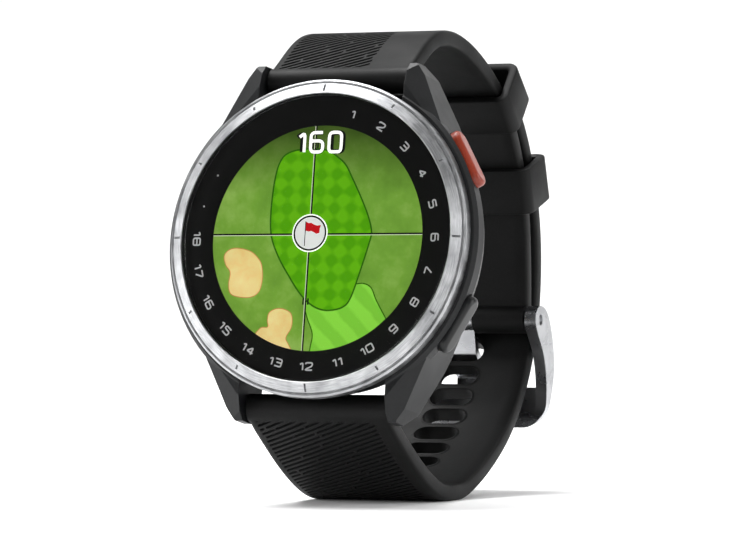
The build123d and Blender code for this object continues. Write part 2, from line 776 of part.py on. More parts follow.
for name, centre in {"upper": upper_bar, "lower": lower_bar}.items():
    save(f"{name}_spring_bar", spring_bar(centre))
    save(f"{name}_release_pin", release_pin(centre))
    save(f"{name}_bar_spring", bar_spring(centre))
save("short_strap", short_strap)
save("long_strap", long_strap)
save("buckle_frame", buckle_frame)
save("buckle_pin", buckle_pin)
save("buckle_tongue", buckle_tongue)
for name, distance in keeper_places.items():
    save(f"{name}_keeper", keeper(distance))
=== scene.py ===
"""Golf watch with a round metal bezel, a golf-hole display and a buckled silicone strap.

Each visible part of the watch has an operator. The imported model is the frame: x to the
wearer's 3 o'clock, y away from the face, z up, in metres. Sizes in the settings are metres.
"""

import math
import random

import bmesh
import bpy
from mathutils import Matrix, Vector


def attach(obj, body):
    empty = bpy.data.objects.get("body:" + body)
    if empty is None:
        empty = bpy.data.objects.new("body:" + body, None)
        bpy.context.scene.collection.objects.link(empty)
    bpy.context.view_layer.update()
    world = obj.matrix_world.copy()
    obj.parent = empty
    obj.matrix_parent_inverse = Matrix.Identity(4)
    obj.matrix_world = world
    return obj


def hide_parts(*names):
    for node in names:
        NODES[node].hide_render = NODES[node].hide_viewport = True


bl_info = {
    "name": "Golf watch",
    "version": (1, 0, 0),
    "blender": (4, 5, 0),
    "location": "View3D > Sidebar > Golf watch",
    "description": "Builds a golf watch round its packed frame",
    "category": "Add Mesh",
}

MM = 0.001
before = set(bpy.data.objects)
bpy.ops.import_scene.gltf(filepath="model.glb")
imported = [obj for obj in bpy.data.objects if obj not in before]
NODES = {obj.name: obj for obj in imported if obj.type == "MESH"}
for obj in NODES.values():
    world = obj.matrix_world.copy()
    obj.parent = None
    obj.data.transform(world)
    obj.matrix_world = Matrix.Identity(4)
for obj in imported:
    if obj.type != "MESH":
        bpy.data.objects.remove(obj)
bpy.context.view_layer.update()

# ---- where the head is ---------------------------------------------------------
LEAN = math.radians(9.5)
HEAD_CENTRE = Vector((0, -21.3, 35.2)) * MM
HEAD = Matrix((
    (1, 0, 0, HEAD_CENTRE.x),
    (0, math.sin(LEAN), -math.cos(LEAN), HEAD_CENTRE.y),
    (0, math.cos(LEAN), math.sin(LEAN), HEAD_CENTRE.z),
    (0, 0, 0, 1),
))
BAR_Y, BAR_Z = 21.7, -6.0
BARREL_RADIUS = 1.9  # of a strap's end round its spring bar
PIN_BARREL_RADIUS = 1.9
PIVOT = (29.6, 23.9)
STRAP_HALF = 10.0
STRAP_THICKNESS = 2.15
DISPLAY_X = -0.45  # the display sits a little to the 9 o'clock side of the glass
ART_RADIUS = 15.2

# Outer surface of each strap in side view (y, z), from its lug to its free end, in millimetres.
SHORT_RUN = [
    (-4.0, 62.0), (1.2, 62.8), (7.0, 62.1), (14.8, 59.3), (20.9, 55.7), (25.4, 51.2),
    (28.6, 46.0), (30.6, 40.3), (31.5, 33.6),
]  # fmt: skip
LONG_FRONT = [(-16.6, 8.5), (-12.0, 5.4), (-7.4, 2.75), (-2.0, 0.55), (1.6, 0.0)]
LONG_BACK = [
    (4.6, 0.0), (9.2, 0.85), (16.4, 3.7), (22.2, 7.0), (28.4, 12.6), (32.1, 18.2),
    (34.5, 24.2), (35.5, 30.8), (35.2, 37.0), (33.2, 43.9), (29.9, 50.0), (22.8, 57.6),
]  # fmt: skip
SLOT_IN_USE = 34.5  # distance along the long strap from where it leaves the table
SLOT_PITCH = 4.1
SLOT_COUNT = 7
SLOT_LENGTH = 6.0
SLOT_WIDTH = 2.7
SLOT_SLACK = 0.3  # wider than the solid slot, so that the tongue swings clear of the moulding
KEEPERS = {"upper": 38.6, "lower": 52.6}  # distance along the short strap
KEEPER_SIZE = (23.0, 6.4)  # across the strap and along it
KEEPER_WALL = 1.2
KEEPER_GAP = 0.3
BAR_BORE = 0.95  # radius of the strap's hole for its spring bar
PIN_BORE = 0.75
LEVER_ROOM = ((3.1, 6.6), 1.05)  # where along the bar, and half its height


# ---- colours and materials -----------------------------------------------------
GLOW = 0.64  # how strongly the display's picture shines


def linear(hex_code):
    """An sRGB hex colour as linear RGBA."""
    code = hex_code.lstrip("#")
    values = []
    for n in (0, 2, 4):
        c = int(code[n : n + 2], 16) / 255
        values.append(c / 12.92 if c <= 0.04045 else ((c + 0.055) / 1.055) ** 2.4)
    return (*values, 1.0)


def plug(tree, node, inputs):
    """Sets inputs of a node to values, or links them to other nodes' sockets."""
    for name, value in inputs.items():
        if isinstance(value, bpy.types.NodeSocket):
            tree.links.new(value, node.inputs[name])
        else:
            node.inputs[name].default_value = value


def add(tree, kind, inputs=None, stops=None, **attributes):
    """Adds one node. stops are the (position, hex colour) pairs of a colour ramp."""
    node = tree.nodes.new(kind)
    for name, value in attributes.items():
        setattr(node, name, value)
    if stops:
        elements = node.color_ramp.elements
        for element, (position, colour) in zip(elements, (stops[0], stops[-1])):
            element.position, element.color = position, linear(colour)
        for position, colour in stops[1:-1]:
            elements.new(position).color = linear(colour)
    plug(tree, node, inputs or {})
    return node


def new_material(name):
    """A material with a plain Principled shader. Returns material, tree and shader."""
    made = bpy.data.materials.new(name)
    made.use_nodes = True
    tree = made.node_tree
    return made, tree, tree.nodes["Principled BSDF"]


def moulded(name, dark, light, grain_mm, rough, bump, edge_mm, shine):
    """A moulded surface: spark grain in its height, wider clouds in its colour and polish."""
    made, tree, shader = new_material(name)
    where = add(tree, "ShaderNodeTexCoord").outputs["Object"]
    grain = add(tree, "ShaderNodeTexNoise", {"Vector": where, "Scale": 1 / (grain_mm * MM), "Detail": 3.0})
    cloud = add(tree, "ShaderNodeTexNoise", {"Vector": where, "Scale": 1 / (6 * MM), "Detail": 4.0})
    both = add(
        tree, "ShaderNodeMath", {0: grain.outputs["Fac"], 1: cloud.outputs["Fac"]}, operation="MULTIPLY"
    )
    colour = add(tree, "ShaderNodeValToRGB", {"Fac": both.outputs[0]}, [(0.12, dark), (0.5, light)])
    polish = add(
        tree,
        "ShaderNodeMapRange",
        {
            "Value": cloud.outputs["Fac"], "From Min": 0.3, "From Max": 0.7,
            "To Min": rough - 0.06, "To Max": rough + 0.06,
        },
    )  # fmt: skip
    edge = add(tree, "ShaderNodeBevel", {"Radius": edge_mm * MM}, samples=4)
    height = add(
        tree,
        "ShaderNodeBump",
        {
            "Height": grain.outputs["Fac"], "Normal": edge.outputs["Normal"],
            "Strength": bump, "Distance": 0.03 * MM,
        },
    )  # fmt: skip
    plug(tree, shader, {
        "Base Color": colour.outputs["Color"], "Roughness": polish.outputs["Result"],
        "Normal": height.outputs["Normal"], "Specular IOR Level": shine,
    })  # fmt: skip
    return made


def case_polymer():
    """Glass-filled nylon, moulded with a fine spark texture: near black, matt, a broad soft sheen."""
    return moulded("glass_filled_nylon_black", "#0d0e0f", "#17181a", 0.25, 0.48, 0.35, 0.15, 0.28)


def cover_polymer():
    """Glass-filled nylon for the rear cover, smoother than the case, so its sheen is tighter."""
    return moulded("glass_filled_nylon_rear", "#0e0f10", "#17181a", 0.3, 0.42, 0.2, 0.1, 0.35)


def silicone():
    """Compression-moulded silicone: near black, dust-dull, soft highlights on its rounded edges."""
    return moulded("moulded_silicone_black", "#070707", "#0f1010", 0.35, 0.55, 0.3, 0.1, 0.14)


def red_lacquer():
    """Polycarbonate with a satin orange-red lacquer: its highlight is soft but clear."""
    return moulded("lacquered_polycarbonate_red", "#74230f", "#8e331b", 0.2, 0.36, 0.1, 0.12, 0.4)


def black_lacquer():
    """Polycarbonate with a satin black lacquer, a little glossier than the case round it."""
    return moulded("lacquered_polycarbonate_black", "#0c0d0e", "#151617", 0.2, 0.38, 0.1, 0.12, 0.3)


def brushed_ring():
    """Aluminium, turned and brushed round the ring, clear anodised: bright, with arcs of grain."""
    made, tree, shader = new_material("brushed_anodised_aluminium")
    where = add(tree, "ShaderNodeTexCoord").outputs["Object"]
    local = add(
        tree,
        "ShaderNodeMapping",
        {
            "Vector": where, "Location": tuple(HEAD.inverted().translation),
            "Rotation": (LEAN - math.pi / 2, 0, 0),
        },
    )  # fmt: skip
    apart = add(tree, "ShaderNodeSeparateXYZ", {"Vector": local.outputs["Vector"]})
    x, y = apart.outputs["X"], apart.outputs["Y"]
    flat = add(tree, "ShaderNodeCombineXYZ", {"X": x, "Y": y})
    radius = add(tree, "ShaderNodeVectorMath", {0: flat.outputs[0]}, operation="LENGTH")
    angle = add(tree, "ShaderNodeMath", {0: y, 1: x}, operation="ARCTAN2")
    # Scratches lie along the ring: real ones are some 0.05 mm apart, drawn at 0.12 mm to show.
    across = add(
        tree, "ShaderNodeMath", {0: radius.outputs["Value"], 1: 1 / (0.12 * MM)}, operation="MULTIPLY"
    )
    along = add(tree, "ShaderNodeMath", {0: angle.outputs[0], 1: 9.0}, operation="MULTIPLY")
    both = add(tree, "ShaderNodeCombineXYZ", {"X": across.outputs[0], "Y": along.outputs[0]})
    lines = add(tree, "ShaderNodeTexNoise", {"Vector": both.outputs[0], "Scale": 1.0, "Detail": 4.0})
    cloud = add(tree, "ShaderNodeTexNoise", {"Vector": where, "Scale": 1 / (3 * MM), "Detail": 6.0})
    mixed = add(
        tree, "ShaderNodeMath", {0: lines.outputs["Fac"], 1: cloud.outputs["Fac"]}, operation="MULTIPLY"
    )
    colour = add(
        tree, "ShaderNodeValToRGB", {"Fac": mixed.outputs[0]}, [(0.1, "#808183"), (0.42, "#c4c5c7")]
    )
    rough = add(
        tree,
        "ShaderNodeMapRange",
        {
            "Value": lines.outputs["Fac"], "From Min": 0.25, "From Max": 0.75,
            "To Min": 0.30, "To Max": 0.48,
        },
    )  # fmt: skip
    edge = add(tree, "ShaderNodeBevel", {"Radius": 0.05 * MM}, samples=4)
    height = add(
        tree,
        "ShaderNodeBump",
        {
            "Height": lines.outputs["Fac"], "Normal": edge.outputs["Normal"],
            "Strength": 0.3, "Distance": 0.01 * MM,
        },
    )  # fmt: skip
    plug(tree, shader, {
        "Base Color": colour.outputs["Color"], "Roughness": rough.outputs["Result"],
        "Normal": height.outputs["Normal"], "Metallic": 1.0,
    })  # fmt: skip
    return made


def metal(name, dark, light, rough, edge_mm=0.12):
    """Bare metal with a faint cloud of polish in its colour and roughness."""
    made, tree, shader = new_material(name)
    where = add(tree, "ShaderNodeTexCoord").outputs["Object"]
    cloud = add(tree, "ShaderNodeTexNoise", {"Vector": where, "Scale": 1 / (3 * MM), "Detail": 3.0})
    colour = add(tree, "ShaderNodeValToRGB", {"Fac": cloud.outputs["Fac"]}, [(0.3, dark), (0.7, light)])
    polish = add(
        tree,
        "ShaderNodeMapRange",
        {
            "Value": cloud.outputs["Fac"], "From Min": 0.3, "From Max": 0.7,
            "To Min": rough * 0.9, "To Max": rough * 1.1,
        },
    )  # fmt: skip
    edge = add(tree, "ShaderNodeBevel", {"Radius": edge_mm * MM}, samples=4)
    plug(tree, shader, {
        "Base Color": colour.outputs["Color"], "Roughness": polish.outputs["Result"],
        "Normal": edge.outputs["Normal"], "Metallic": 1.0,
    })  # fmt: skip
    return made


def cover_glass():
    """Strengthened glass, polished: clear, with a sharp reflection and a faint smear of haze."""
    made, tree, shader = new_material("strengthened_glass")
    where = add(tree, "ShaderNodeTexCoord").outputs["Object"]
    smear = add(tree, "ShaderNodeTexNoise", {"Vector": where, "Scale": 1 / (6 * MM), "Detail": 3.0})
    haze = add(
        tree,
        "ShaderNodeMapRange",
        {
            "Value": smear.outputs["Fac"], "From Min": 0.3, "From Max": 0.7,
            "To Min": 0.12, "To Max": 0.2,
        },
    )  # fmt: skip
    gloss = add(tree, "ShaderNodeBsdfGlossy", {"Roughness": haze.outputs["Result"]})
    clear = add(tree, "ShaderNodeBsdfTransparent")
    share = add(tree, "ShaderNodeFresnel", {"IOR": 1.45})
    mix = add(
        tree, "ShaderNodeMixShader", {0: share.outputs[0], 1: clear.outputs[0], 2: gloss.outputs[0]}
    )
    plug(tree, tree.nodes["Material Output"], {"Surface": mix.outputs[0]})
    tree.nodes.remove(shader)
    return made


def glow_of(tree, shader, colour, strength):
    """The screen's picture shows a colour by its own light and doesn't shine."""
    plug(tree, shader, {
        "Base Color": colour, "Emission Color": colour, "Emission Strength": strength,
        "Roughness": 0.6, "Specular IOR Level": 0.0,
    })  # fmt: skip


def lit_sand():
    """A bunker as the display draws it: pale sand, gently clouded."""
    made, tree, shader = new_material("display_sand")
    where = add(tree, "ShaderNodeTexCoord").outputs["Object"]
    cloud = add(tree, "ShaderNodeTexNoise", {"Vector": where, "Scale": 1 / (2.2 * MM), "Detail": 4.0})
    stops = [(0.3, "#cfb371"), (0.55, "#dcc486"), (0.8, "#e4cf95")]
    colour = add(tree, "ShaderNodeValToRGB", {"Fac": cloud.outputs["Fac"]}, stops)
    glow_of(tree, shader, colour.outputs["Color"], GLOW)
    return made


def lit_rough():
    """The rough as the display draws it: clouded olive green, darker under the number at the top."""
    made, tree, shader = new_material("display_rough_grass")
    where = add(tree, "ShaderNodeTexCoord").outputs["Object"]
    cloud = add(
        tree,
        "ShaderNodeTexNoise",
        {"Vector": where, "Scale": 1 / (5.5 * MM), "Detail": 6.0, "Roughness": 0.62},
    )
    stops = [(0.32, "#5f872f"), (0.5, "#6c9637"), (0.72, "#86a850")]
    grass = add(tree, "ShaderNodeValToRGB", {"Fac": cloud.outputs["Fac"]}, stops)
    apart = add(tree, "ShaderNodeSeparateXYZ", {"Vector": where})
    shade = add(
        tree,
        "ShaderNodeMapRange",
        {
            "Value": apart.outputs["Z"], "From Min": HEAD_CENTRE.z + 5.5 * MM,
            "From Max": HEAD_CENTRE.z + 13.5 * MM, "To Min": 0.0, "To Max": 0.8,
        },
    )  # fmt: skip
    mix = add(tree, "ShaderNodeMix", data_type="RGBA")
    plug(tree, mix, {0: shade.outputs["Result"], 6: grass.outputs["Color"], 7: linear("#1f2b0c")})
    glow_of(tree, shader, mix.outputs[2], GLOW)
    return made


def lit_mown(name, dark, light, cell_mm, stripes):
    """Mown grass as the display draws it: diagonal squares, or stripes, of two greens."""
    made, tree, shader = new_material(name)
    where = add(tree, "ShaderNodeTexCoord").outputs["Object"]
    upright = add(tree, "ShaderNodeMapping", {"Vector": where, "Rotation": (LEAN - math.pi / 2, 0, 0)})
    turned = add(
        tree, "ShaderNodeMapping", {"Vector": upright.outputs[0], "Rotation": (0, 0, math.radians(45))}
    )
    apart = add(tree, "ShaderNodeSeparateXYZ", {"Vector": turned.outputs[0]})
    waves = []
    for axis in ("X", "Y"):
        phase = add(
            tree,
            "ShaderNodeMath",
            {0: apart.outputs[axis], 1: math.pi / (cell_mm * MM)},
            operation="MULTIPLY",
        )
        waves.append(add(tree, "ShaderNodeMath", {0: phase.outputs[0]}, operation="SINE").outputs[0])
    pattern = waves[1]
    if not stripes:
        pattern = add(tree, "ShaderNodeMath", {0: waves[0], 1: waves[1]}, operation="MULTIPLY").outputs[0]
    cloud = add(tree, "ShaderNodeTexNoise", {"Vector": where, "Scale": 1 / (1.6 * MM), "Detail": 5.0})
    level = add(
        tree, "ShaderNodeMath", {0: pattern, 1: 0.7, 2: cloud.outputs["Fac"]}, operation="MULTIPLY_ADD"
    )
    colour = add(tree, "ShaderNodeValToRGB", {"Fac": level.outputs[0]}, [(0.25, dark), (0.75, light)])
    glow_of(tree, shader, colour.outputs["Color"], GLOW)
    return made


def ink(name, colour, glow=0.0, rough=0.5):
    """A flat printed or displayed colour, with the faint mottle of a screen-printed film."""
    made, tree, shader = new_material(name)
    where = add(tree, "ShaderNodeTexCoord").outputs["Object"]
    mottle = add(tree, "ShaderNodeTexNoise", {"Vector": where, "Scale": 1 / (0.4 * MM), "Detail": 2.0})
    level = add(
        tree,
        "ShaderNodeMapRange",
        {"Value": mottle.outputs["Fac"], "To Min": 0.92, "To Max": 1.08},
    )
    tone = add(tree, "ShaderNodeHueSaturation", {"Color": linear(colour), "Value": level.outputs["Result"]})
    if glow:
        glow_of(tree, shader, tone.outputs["Color"], glow)
    else:
        plug(tree, shader, {
            "Base Color": tone.outputs["Color"], "Roughness": rough, "Specular IOR Level": 0.2,
        })  # fmt: skip
    return made


MADE = {}


def material(name):
    """Each finish is made once, when a part first asks for it."""
    if name not in MADE:
        MADE[name] = FINISHES[name]()
    return MADE[name]


FINISHES = {
    "case": case_polymer,
    "rear": cover_polymer,
    "silicone": silicone,
    "bezel": brushed_ring,
    "glass": cover_glass,
    "red_button": red_lacquer,
    "black_button": black_lacquer,
    "polished": lambda: metal("polished_stainless_steel", "#96979a", "#b6b7b9", 0.28),
    "spring_steel": lambda: metal("drawn_spring_steel", "#8e9094", "#b9bbbe", 0.32),
    "copper": lambda: metal("bare_copper", "#b06f3c", "#cf8f58", 0.35),
    "brass": lambda: metal("turned_brass", "#b2924c", "#d3b56c", 0.3),
    "gold": lambda: metal("gold_plated_contact", "#c79a3b", "#e8c266", 0.22),
    "foil": lambda: metal("aluminium_foil_pouch", "#9a9ca0", "#c4c6c8", 0.38),
    "shield": lambda: metal("tinned_steel_shield", "#a5a6a8", "#cfd0d2", 0.34),
    "screw": lambda: metal("blackened_steel", "#4c4e52", "#6a6c70", 0.36, 0.05),
    "black_ink": lambda: ink("black_ink_behind_glass", "#030303"),
    # Grey print of the dial's hole numbers, given a faint glow of its own: painted light in place of the
    # light falling on the print.
    "numerals_with_painted_glow": lambda: ink("grey_print_with_painted_glow", "#c6c7c9", 0.25),
    "white_light": lambda: ink("display_white", "#f6f6f2", 0.9),
    "pale_line": lambda: ink("display_pale_line", "#d5dcc0", 0.7),
    "black_light": lambda: ink("display_black", "#0d0f0b"),
    "edge_light": lambda: ink("display_green_edge", "#2c640c", 0.4),
    "sand_edge": lambda: ink("display_sand_edge", "#b98a4e", 0.5),
    "flag_light": lambda: ink("display_flag_red", "#b5121b", 0.6),
    "marker_light": lambda: ink("display_marker_white", "#d9d7db", 0.6),
    "rough": lit_rough,
    "green": lambda: lit_mown("display_green_grass", "#4a9307", "#5da50f", 1.6, False),
    "approach": lambda: lit_mown("display_approach_grass", "#74b838", "#82c541", 1.6, True),
    "sand": lit_sand,
    "board": lambda: moulded("soldermask_green", "#0c3b20", "#14502d", 0.4, 0.4, 0.2, 0.08, 0.5),
    "inner": lambda: moulded("glass_filled_nylon_inner", "#1f2022", "#2a2b2d", 0.3, 0.55, 0.3, 0.08, 0.5),
    "rubber": lambda: moulded("nitrile_rubber", "#141414", "#1f1f1f", 0.3, 0.7, 0.2, 0.08, 0.3),
    "panel": lambda: ink("display_panel_black", "#050506", 0.0, 0.2),
}


# ---- meshes --------------------------------------------------------------------
def piece(name, vertices, faces, finish, body, smooth, matrix=None):
    """A mesh object from millimetre points, smooth but for edges sharper than `smooth` degrees."""
    mesh = bpy.data.meshes.new(name)
    mesh.from_pydata([Vector(v) * MM for v in vertices], [], faces)
    if matrix is not None:
        mesh.transform(matrix)
    made = bpy.data.objects.new(name, mesh)
    bpy.context.scene.collection.objects.link(made)
    clean(mesh, smooth)
    mesh.materials.append(material(finish))
    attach(made, body)
    return made


def clean(mesh, smooth):
    """Welds doubled points, drops empty faces, turns normals out and marks sharp edges."""
    work = bmesh.new()
    work.from_mesh(mesh)
    bmesh.ops.remove_doubles(work, verts=work.verts, dist=0.002 * MM)
    bmesh.ops.dissolve_degenerate(work, edges=work.edges, dist=0.001 * MM)
    bmesh.ops.recalc_face_normals(work, faces=work.faces)
    limit = math.radians(smooth)
    for face in work.faces:
        face.smooth = True
    for edge in work.edges:
        edge.smooth = len(edge.link_faces) == 2 and edge.calc_face_angle(0.0) < limit
    work.to_mesh(mesh)
    work.free()


def cut(target, *tools):
    """Takes closed tool meshes out of a piece, and applies the result."""
    for tool in tools:
        apply_boolean(target, tool, "DIFFERENCE")


def apply_boolean(target, tool, operation):
    modifier = target.modifiers.new("shape", "BOOLEAN")
    modifier.operation = operation
    modifier.solver = "EXACT"
    modifier.object = tool
    bpy.context.view_layer.update()
    result = bpy.data.meshes.new_from_object(
        target.evaluated_get(bpy.context.evaluated_depsgraph_get())
    )
    target.modifiers.remove(modifier)
    old = target.data
    target.data = result
    bpy.data.meshes.remove(old)
    bpy.data.objects.remove(tool)


def tool_mesh(name, vertices, faces):
    """A closed mesh used only to cut or add."""
    mesh = bpy.data.meshes.new(name)
    mesh.from_pydata([Vector(v) * MM for v in vertices], [], faces)
    work = bmesh.new()
    work.from_mesh(mesh)
    bmesh.ops.recalc_face_normals(work, faces=work.faces)
    work.to_mesh(mesh)
    work.free()
    made = bpy.data.objects.new(name, mesh)
    bpy.context.scene.collection.objects.link(made)
    return made


def rings_to_faces(count, size):
    """Faces between rings of points that follow each other, and the two end caps."""
    faces = []
    for r in range(count - 1):
        for k in range(size):
            a = r * size + k
            b = r * size + (k + 1) % size
            faces.append((a, b, b + size, a + size))
    faces.append(tuple(range(size - 1, -1, -1)))
    faces.append(tuple((count - 1) * size + k for k in range(size)))
    return faces


class Path:
    """A smooth side-view curve through points, read by distance, with its outward normal."""

    def __init__(self, points, start_angle, end_angle):
        points = [Vector(p) for p in points]
        steps = [0.0]
        for a, b in zip(points, points[1:]):
            steps.append(steps[-1] + (b - a).length)
        slopes = self.slopes(points, steps, start_angle, end_angle)
        self.points = []
        for n in range(len(points) - 1):
            width = steps[n + 1] - steps[n]
            for k in range(40):
                t = k / 40
                self.points.append(self.hermite(points, slopes, n, t, width))
        self.points.append(points[-1])
        self.measure()

    @staticmethod
    def slopes(points, steps, start_angle, end_angle):
        """Slopes of the cubic spline whose bend is continuous, with its two ends' headings set."""
        count = len(points)
        ends = [on_circle((0, 0), 1, angle) for angle in (start_angle, end_angle)]
        slopes = [ends[0]] + [None] * (count - 2) + [ends[1]]
        for n in range(1, count - 1):
            slopes[n] = (points[n + 1] - points[n - 1]) / (steps[n + 1] - steps[n - 1])
        for _ in range(60):
            for n in range(1, count - 1):
                h0, h1 = steps[n] - steps[n - 1], steps[n + 1] - steps[n]
                d0, d1 = (points[n] - points[n - 1]) / h0, (points[n + 1] - points[n]) / h1
                known = 3 * (d0 * h1 + d1 * h0)
                slopes[n] = (known - slopes[n - 1] * h1 - slopes[n + 1] * h0) / (2 * (h0 + h1))
        return slopes

    @staticmethod
    def hermite(points, slopes, n, t, width):
        a, b = points[n], points[n + 1]
        ma, mb = slopes[n] * width, slopes[n + 1] * width
        t2, t3 = t * t, t * t * t
        return (
            a * (2 * t3 - 3 * t2 + 1) + ma * (t3 - 2 * t2 + t) + b * (3 * t2 - 2 * t3) + mb * (t3 - t2)
        )

    def measure(self):
        self.steps = [0.0]
        for a, b in zip(self.points, self.points[1:]):
            self.steps.append(self.steps[-1] + (b - a).length)
        self.length = self.steps[-1]

    def joined(self, other):
        """This path with another that starts where it ends."""
        self.points = self.points + other.points[1:]
        self.measure()
        return self

    def at(self, distance):
        """(point, heading) at a distance along the path."""
        d = min(max(distance, 0.0), self.length)
        low, high = 0, len(self.steps) - 1
        while high - low > 1:
            middle = (low + high) // 2
            if self.steps[middle] <= d:
                low = middle
            else:
                high = middle
        share = (d - self.steps[low]) / max(self.steps[high] - self.steps[low], 1e-9)
        point = self.points[low].lerp(self.points[high], share)
        before = self.points[max(low - 1, 0)]
        after = self.points[min(high + 1, len(self.points) - 1)]
        return point, (after - before).normalized()


def side_point(local_y, local_z):
    """Side-view (y, z) of a point on the head's middle plane, in millimetres."""
    p = HEAD @ Vector((0, local_y * MM, local_z * MM))
    return Vector((p.y / MM, p.z / MM))


def on_circle(centre, radius, angle):
    a = math.radians(angle)
    return Vector((centre[0] + radius * math.cos(a), centre[1] + radius * math.sin(a)))


UPPER_BAR = side_point(BAR_Y, BAR_Z)
LOWER_BAR = side_point(-BAR_Y, BAR_Z)


def short_path():
    start = on_circle(UPPER_BAR, BARREL_RADIUS, 118)
    return Path([start, *SHORT_RUN, on_circle(PIVOT, PIN_BARREL_RADIUS, 0)], 28, -92)


def long_path():
    start = on_circle(LOWER_BAR, BARREL_RADIUS, -138)
    front = Path([start, *LONG_FRONT], -48, 0)
    flat = Path([LONG_FRONT[-1], LONG_BACK[0]], 0, 0)
    back = Path(LONG_BACK, 0, 136)
    distance = front.length + flat.length
    return front.joined(flat).joined(back), distance


GROOVE_PITCH = 0.92  # along the strap
GROOVE_SLANT = math.tan(math.radians(30))
GROOVE_DEPTH = 0.32


def strap_ring():
    """Outline of the strap's section: (x, depth below the outer surface, kind)."""
    h, t = STRAP_HALF, STRAP_THICKNESS
    count = 74
    outer = []
    for n in range(count + 1):
        x = -(h - 0.55) + 2 * (h - 0.55) * n / count
        outer.append((x, 0.0, "outer"))
    corner = [(h - 0.3, 0.05), (h - 0.1, 0.19), (h, 0.45)]
    inner_corner = [(h, t - 0.4), (h - 0.12, t - 0.12), (h - 0.4, t)]
    right = [(x, d, "side") for x, d in corner + inner_corner]
    inner = [((h - 0.4) * (1 - 2 * n / 12), t, "inner") for n in range(1, 12)]
    left = [(-x, d, "side") for x, d in reversed(corner + inner_corner)]
    return outer + right + inner + left


def strap_mesh(path, slant, field_x, field_v, side_sign, narrow_from, dash, seed):
    """The strap as rings slanted with its grooves, so that each groove has clean edges.

    side_sign is +1 where the outer surface is on the right of the path's heading.
    """
    ring = strap_ring()
    rng = random.Random(seed)
    rows = []
    slope = GROOVE_SLANT * slant
    reach = abs(slope) * STRAP_HALF
    count = int((path.length + 2 * reach) / GROOVE_PITCH) + 2
    breaks = {}
    for n in range(count):
        v = -reach + n * GROOVE_PITCH
        marks = []
        x = -STRAP_HALF + rng.uniform(0.0, dash[1])
        while x < STRAP_HALF:
            marks.append(x)
            x += rng.uniform(*dash)
        breaks[n] = marks
        for share, low in ((0.0, 0), (0.13, 1), (0.43, 1), (0.56, 0)):
            rows.append((v + share * GROOVE_PITCH, low, n))
    vertices = []
    for v_mid, low, n in rows:
        for x, depth, kind in ring:
            v = min(max(v_mid + slope * x, 0.0), path.length)
            if kind == "outer" and low:
                inside_v = field_v[0] < v < field_v[1]
                inside_x = field_x[0] <= x <= field_x[1]
                whole = all(abs(x - mark) > 0.2 for mark in breaks[n])
                if inside_v and inside_x and whole:
                    depth = GROOVE_DEPTH
            width = 1.0
            if v > narrow_from:
                share = min((v - narrow_from) / (path.length - narrow_from), 1.0)
                width = 0.62 + 0.38 * math.sqrt(max(1 - share * share, 0.0))
            point, heading = path.at(v)
            normal = Vector((heading.y, -heading.x)) * side_sign
            place = point - normal * depth
            vertices.append((x * width, place.x, place.y))
    faces = rings_to_faces(len(rows), len(ring))
    return vertices, faces


def tube_tool(name, centre, radius, low_x, high_x, count):
    """A round bar along x."""
    vertices = []
    for x in (low_x, high_x):
        for n in range(count):
            p = on_circle(centre, radius, 360 * n / count)
            vertices.append((x, p.x, p.y))
    return tool_mesh(name, vertices, rings_to_faces(2, count))


def box_tool(name, low, high):
    outline = [(low[0], low[1]), (high[0], low[1]), (high[0], high[1]), (low[0], high[1])]
    vertices = [(x, y, z) for z in (low[2], high[2]) for x, y in outline]
    return tool_mesh(name, vertices, rings_to_faces(2, 4))


def stadium(length, width, count=10):
    """Points of a slot-shaped outline, counter-clockwise from its lower right."""
    r = width / 2
    out = []
    for sign, start in ((1, -90), (-1, 90)):
        centre = sign * (length / 2 - r)
        for n in range(count + 1):
            a = math.radians(start + 180 * n / count)
            out.append((centre + r * math.cos(a), r * math.sin(a)))
    return out


def lever_window(bar):
    """Room for the thumb lever of a spring bar, open towards the wrist."""
    (low, high), half = LEVER_ROOM
    return box_tool("lever_room", (low, bar.x, bar.y - half), (high, bar.x + 4, bar.y + half))


def slot_places(path, start):
    """(point, heading) of each slot on the long strap, the one in use first."""
    return [path.at(start + SLOT_IN_USE - n * SLOT_PITCH) for n in range(SLOT_COUNT)]


def slot_tool(name, point, heading):
    """A slot-shaped bar through the strap."""
    normal = Vector((heading.y, -heading.x))
    outline = stadium(SLOT_LENGTH + SLOT_SLACK, SLOT_WIDTH + SLOT_SLACK)
    vertices = []
    for depth in (-1.0, STRAP_THICKNESS + 1.0):
        for x, along in outline:
            p = point - normal * depth + heading * along
            vertices.append((x, p.x, p.y))
    return tool_mesh(name, vertices, rings_to_faces(2, len(outline)))


def slot_rim(point, heading, vertices, faces):
    """A low raised lip round a slot on the wrist side, added to a growing mesh."""
    normal = Vector((heading.y, -heading.x))
    outline_in = stadium(SLOT_LENGTH + SLOT_SLACK, SLOT_WIDTH + SLOT_SLACK)
    outline_out = stadium(SLOT_LENGTH + 0.8, SLOT_WIDTH + 0.8)
    base = STRAP_THICKNESS
    section = [
        (outline_in, base - 0.1), (outline_in, base + 0.12),
        (outline_out, base + 0.06), (outline_out, base - 0.1),
    ]  # fmt: skip
    first = len(vertices)
    size = len(outline_in)
    for outline, depth in section:
        for x, along in outline:
            p = point - normal * depth + heading * along
            vertices.append((x, p.x, p.y))
    for k in range(len(section)):
        a = first + k * size
        b = first + (k + 1) % len(section) * size
        for n in range(size):
            m = (n + 1) % size
            faces.append((a + n, a + m, b + m, b + n))


def finish_strap(made, node):
    clean(made.data, 50.0)
    made.data.materials.clear()
    made.data.materials.append(material("silicone"))
    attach(made, "watch")
    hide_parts(node)


